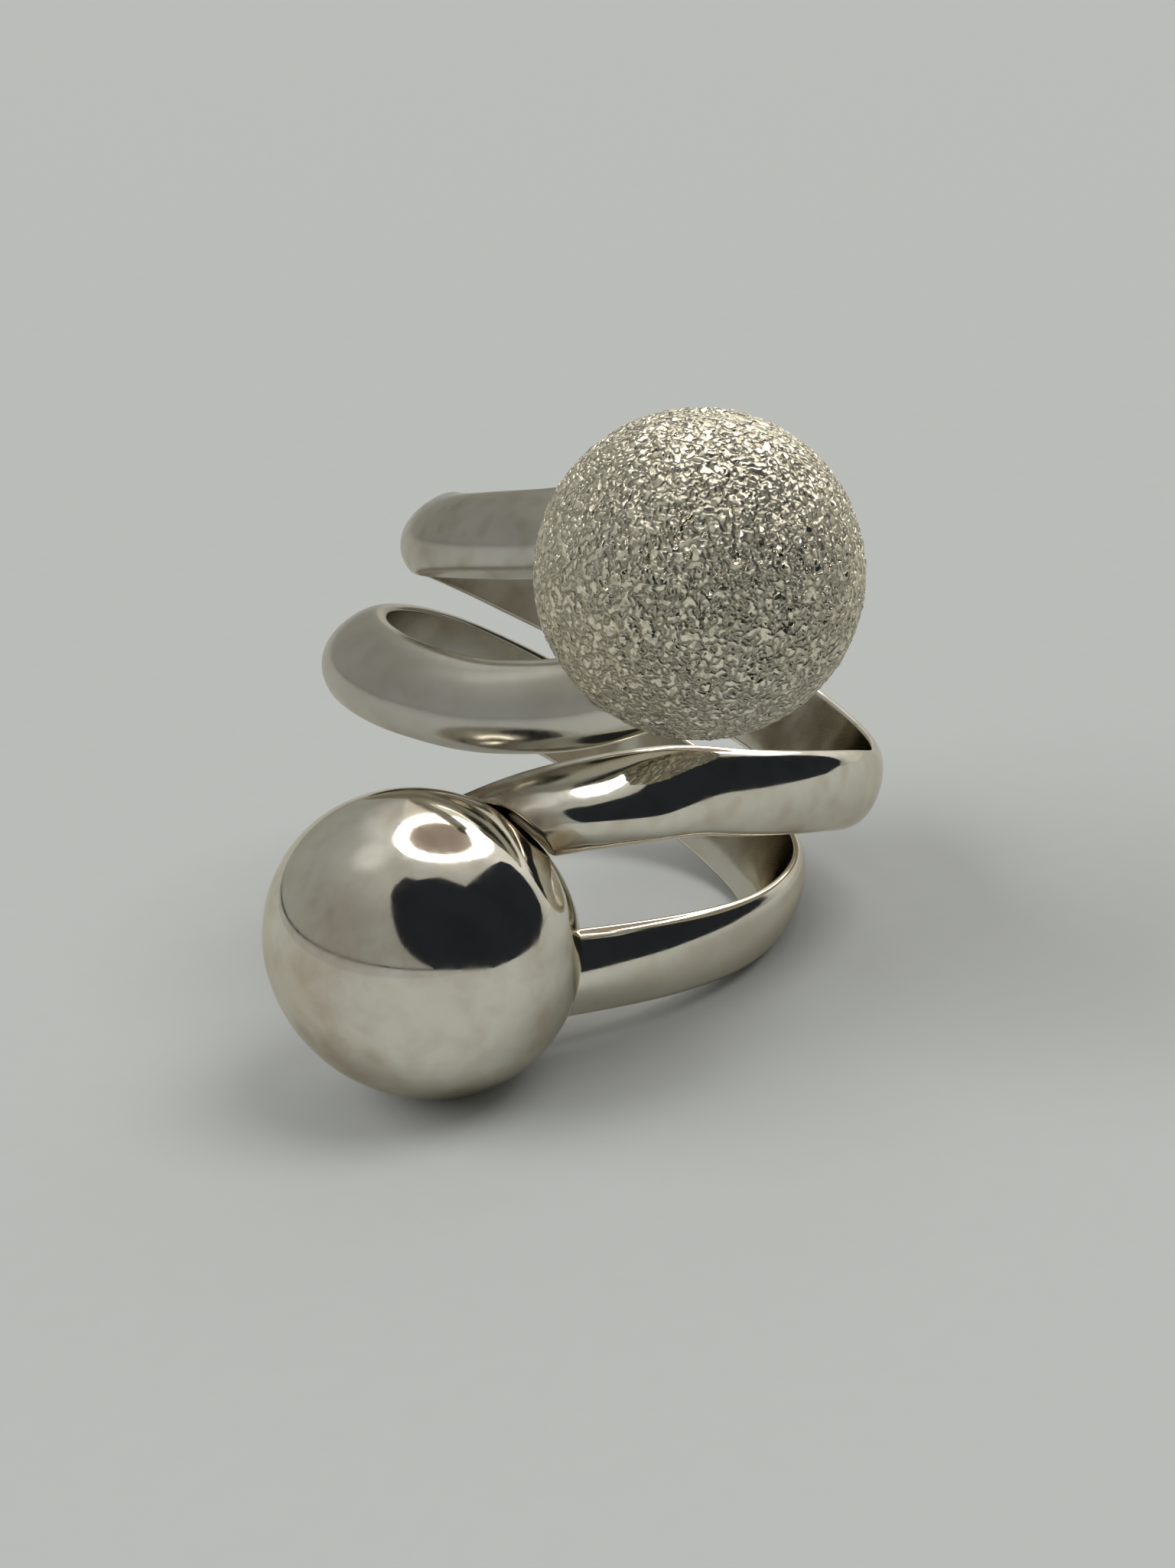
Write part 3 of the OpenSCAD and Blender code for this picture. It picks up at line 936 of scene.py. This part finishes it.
@dataclass
class Studio:
    """Pale table, light tent, lamps, dark card and camera. Angles are in degrees and lengths in metres.

    Args:
        table_r: Radius of the table and of the tent.
        table_tint: Colour of the table.
        walls: Light of the tent low down, and above.
        walls_rise: Heights between which the first turns into the second.
        bright_side: Side where the tent is brighter, and half its breadth with and without its soft edge.
        bright_light: Light of that side.
        patches: Side, height, outer and inner reach and light of each patch that brightens the tent.
        ovals: Middle, half sizes, soft edge and light of the lamp, and of its darker middle.
        sheet: Mean height of a pale sheet's upper edge, its swing, its highest side, softness and light.
        seam: Height of a dark seam over that edge, half its breadth with and without its soft edge, and the
            share of the light that it takes.
        seam_side: Side of the seam's middle, and half its length with and without its soft ends.
        opening: Outline of the dark card round the camera, as side and height above the table.
        opening_middle: The direction that the outline is drawn together to.
        opening_r: Distance of the card.
        keys: Side, height above the table, strength and breadth of each soft light.
    """

    table_r: float = 4.0
    table_tint: Triple = (0.452, 0.463, 0.451)
    walls: tuple[Triple, ...] = ((0.33, 0.335, 0.32), (0.46, 0.46, 0.43))
    walls_rise: Pair = (35, 75)
    bright_side: Triple = (150, 45, 25)
    bright_light: Triple = (0.62, 0.61, 0.58)
    patches: tuple[tuple[float, ...], ...] = ((-113, 70, 16, 4, 0.25), (145, 50, 45, 30, 0.22))
    ovals: tuple[tuple[Pair, Pair, Pair, Triple], ...] = (
        ((143, 58), (19.5, 27), (1.04, 0.97), (7.0, 7.0, 7.0)),
        ((141, 60), (14.5, 18), (1.05, 0.95), (0.36, 0.30, 0.265)))
    sheet: tuple[float, ...] = (1.5, 6, -45, 0.6, 0.43)
    seam: tuple[float, ...] = (0.9, 0.9, 0.5, 0.85)
    seam_side: Triple = (-60, 90, 65)
    opening: tuple[Pair, ...] = (
        (-22, 60), (-20, 67), (-10, 72), (1, 75), (25, 71), (60, 65), (67, 57), (72, 50), (86, 48), (109, 40),
        (119, 33), (121, 27), (119, 20), (116, 14), (113, 8), (107, 3), (95, -2), (53, -2), (12, 6), (4, 11),
        (-4, 18), (-10, 26), (-13, 33), (-18, 46))
    opening_middle: Pair = (45, 30)
    opening_r: float = 0.12
    keys: tuple[tuple[float, float, float, float], ...] = ((-86, 38, 1.7, 48), (70, 62, 1.2, 36))

    def table(self) -> None:
        """Builds a round pale table top at the height the ring rests on, faintly mottled."""
        sides, drop = 128, 0.00001
        around = np.linspace(0, 2 * np.pi, sides, endpoint=False)
        rim = np.stack([np.cos(around), np.sin(around), 0 * around], -1) * self.table_r
        points = np.concatenate([rim, [[0, 0, 0]]]) - (0, 0, drop)
        faces = np.stack([np.arange(sides), (np.arange(sides) + 1) % sides, np.full(sides, sides)], -1)
        top = mesh_object("table", points, faces, NO_CREASE)
        mat = bpy.data.materials.new("pale_table")
        mat.use_nodes = True
        tree = mat.node_tree
        place = add_node(tree, "TexCoord").outputs["Object"]
        mottle = add_node(tree, "TexNoise", {"Vector": place, "Scale": 900, "Detail": 4}).outputs["Fac"]
        dark, pale = ((*(share * c for c in self.table_tint), 1) for share in (0.985, 1.015))
        mix = add_node(tree, "Mix", {"A": dark, "B": pale, "Factor": mottle}, data_type="RGBA")
        feed(tree.nodes["Principled BSDF"], {"Base Color": mix.outputs["Result"], "Roughness": 0.65,
                                             "Specular IOR Level": 0.0})
        top.data.materials.append(mat)

    def glow(self, side: Array, high: Array) -> Array:
        """Light of the tent in each direction.

        Args:
            side: Angle from the front towards the right, in degrees.
            high: Angle above the table, in degrees.

        Returns:
            Red, green and blue, where 1 is white.
        """
        way = direction(side, high)
        wall, upper = np.array(self.walls)
        light = wall + (upper - wall) * soft(high, *self.walls_rise)
        middle, outer, inner = self.bright_side
        right = soft(np.abs(side - middle), outer, inner)
        light = light * (1 - right) + np.array(self.bright_light) * right
        for az, el, outer, inner, extra in self.patches:
            light = light + extra * soft(off(way, az, el), outer, inner)
        for middle, sizes, edge, shown in self.ovals:
            lit = soft(oval(way, *middle, *sizes), *edge)
            light = light * (1 - lit) + np.array(shown) * lit
        mean, swing, top, edge, shown = self.sheet
        over = high - np.clip(mean + swing * np.cos(np.radians(side - top)), 0, None)
        sheet = soft(over, edge, 0.0)
        light = light * (1 - sheet) + shown * sheet
        rise, outer, inner, depth = self.seam
        middle, ends, full = self.seam_side
        seam = soft(np.abs(over - rise), outer, inner) * soft(np.abs(side - middle), ends, full)
        return light * (1 - depth * seam)

    def dark_card(self) -> None:
        """Builds the dark side of the camera and its holder, as a curved card that only reflections show.

        Its points lie at one distance from the polished ball's middle, at the outline's angles drawn together
        in equal steps.
        """
        outline = np.array(self.opening, float)
        rows = 9
        share = np.linspace(0, 1, rows)[:, None, None]
        angles = self.opening_middle + (outline - self.opening_middle) * share
        away = direction(angles[..., 0], angles[..., 1]) * self.opening_r
        centre = to_row(np.array([POLISHED_AT]))[0]
        faces = grid_faces(rows, len(outline), True)
        card = mesh_object("dark_card", away.reshape(-1, 3) + centre, faces, NO_CREASE)
        mat, emit = light_only("dark_cloth")
        feed(emit, {"Color": (0.018, 0.021, 0.026, 1)})
        card.data.materials.append(mat)
        card.visible_camera = card.visible_diffuse = card.visible_shadow = False

    def key_lights(self) -> None:
        """Broad soft lights for the ring's shadows, a low one on the left and a high one on the right."""
        for k, (side, high, power, width) in enumerate(self.keys):
            data = bpy.data.lights.new(f"key_light_{k}", "SUN")
            data.energy = power
            data.angle = np.radians(width)
            light = bpy.data.objects.new(data.name, data)
            light.rotation_euler = (np.radians(90 - high), 0, np.radians(side))
            light.visible_glossy = False
            bpy.context.scene.collection.objects.link(light)

    def tent(self) -> None:
        """Builds a dome over the table whose skin gives the soft light, and which the camera doesn't see.

        Its points are closer together low down, by the sheet's edge and the seam. Dull surfaces get a limited
        light, so that the lamp casts no second shadow.
        """
        low, upper = np.linspace(-0.4, 10, 40), np.linspace(10.6, 90, 110)
        around = np.linspace(-180, 180, 361)
        side, high = np.broadcast_arrays(around[None, :], np.concatenate([low, upper])[:, None])
        points = direction(side, high) * self.table_r
        dome = mesh_object("light_tent", points.reshape(-1, 3), grid_faces(*side.shape, False), NO_CREASE)
        light = self.glow(side, high).reshape(-1, 3)
        rows = np.column_stack([light, np.ones(len(light))])
        layer = dome.data.attributes.new("glow", "FLOAT_COLOR", "POINT")
        layer.data.foreach_set("color", rows.ravel().astype(np.float32))
        mat, emit = light_only("tent_light")
        tree = mat.node_tree
        glow = add_node(tree, "Attribute", attribute_name="glow").outputs["Color"]
        limit = (0.7, 0.7, 0.7)
        least = vectors(tree, "MINIMUM", {0: glow, 1: limit})
        dull = add_node(tree, "LightPath").outputs["Is Diffuse Ray"]
        pick = add_node(tree, "Mix", {"A": glow, "B": least, "Factor": dull}, data_type="RGBA")
        feed(emit, {"Color": pick.outputs["Result"]})
        dome.data.materials.append(mat)
        dome.visible_camera = dome.visible_shadow = False

    def backdrop(self) -> None:
        """Plain pale surroundings for views that look past the table."""
        world = bpy.data.worlds.new("surroundings")
        world.use_nodes = True
        feed(world.node_tree.nodes["Background"], {"Color": (0.49, 0.50, 0.49, 1)})
        bpy.context.scene.world = world

    def camera(self) -> None:
        """The camera at the photograph's angle: its right, down and forward directions give its turn."""
        tilt, roll = np.radians((20.63, -5.86))
        ahead = np.array([0, np.cos(tilt), -np.sin(tilt)])
        right = np.array([1.0, 0, 0])
        down = np.cross(ahead, right)
        c, s = np.cos(roll), np.sin(roll)
        right, down = c * right - s * down, s * right + c * down
        data = bpy.data.cameras.new("camera")
        focal_pixels, film, photo_pixels = 3701.2, 36, 2049
        data.sensor_width = film
        data.lens = focal_pixels * film / photo_pixels
        data.clip_start, data.clip_end = 0.005, 50
        cam = bpy.data.objects.new("camera", data)
        turn = np.eye(4)
        turn[:3, :3] = np.stack([right, -down, -ahead], -1)
        turn[:3, 3] = np.array([0.19, -95.91, 43.37]) * MM
        cam.matrix_world = Matrix(turn.tolist())
        bpy.context.scene.collection.objects.link(cam)
        bpy.context.scene.camera = cam

    def build(self) -> None:
        """Sets up the table, the tent, the card, the lights, the surroundings and the camera."""
        self.table()
        self.tent()
        self.dark_card()
        self.key_lights()
        self.backdrop()
        self.camera()
        bpy.context.scene.view_settings.view_transform = "Standard"


@dataclass
class BypassRing:
    """The ring: two bands and two balls that stand for the soldered solid.

    Args:
        pieces: The finished pieces, in the order they are built.
    """

    pieces: list[Piece] = field(default_factory=list)

    def build(self) -> None:
        """Builds each piece, lets it ride on the ring's body and has it stand for the solid."""
        buffed = SilverFinish(Surface.BUFFED, tint=(0.80, 0.768, 0.665), roughness=0.06, clouds=0.35,
                              scratches=0.12)
        mirror = SilverFinish(Surface.MIRROR, tint=(0.79, 0.762, 0.67), roughness=0.05, clouds=0.7,
                              scratches=0.15)
        sparkle = SilverFinish(Surface.SPARKLE, tint=(1.0, 0.94, 0.765), roughness=0.40, clouds=0.12,
                               scratches=0.05, grain=Grain())
        parts = (
            Band("upper_band", UPPER_PATH, half_turned=False, finish=buffed),
            Band("lower_band", LOWER_PATH, half_turned=True, finish=buffed),
            Ball("polished_ball", POLISHED_AT, POLISHED_PRESS, mirror),
            Ball("textured_ball", TEXTURED_AT, 1.0, sparkle),
        )
        for part in parts:
            piece = part.build()
            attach(piece, "root")
            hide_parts("ring")
            self.pieces.append(piece)
            log.info("%s: %d triangles", piece.name, len(piece.data.polygons))


def main() -> None:
    """Builds the ring and the studio."""
    logging.basicConfig(level=logging.INFO, format="%(name)s %(message)s")
    BypassRing().build()
    Studio().build()


if __name__ == "__main__":
    main()
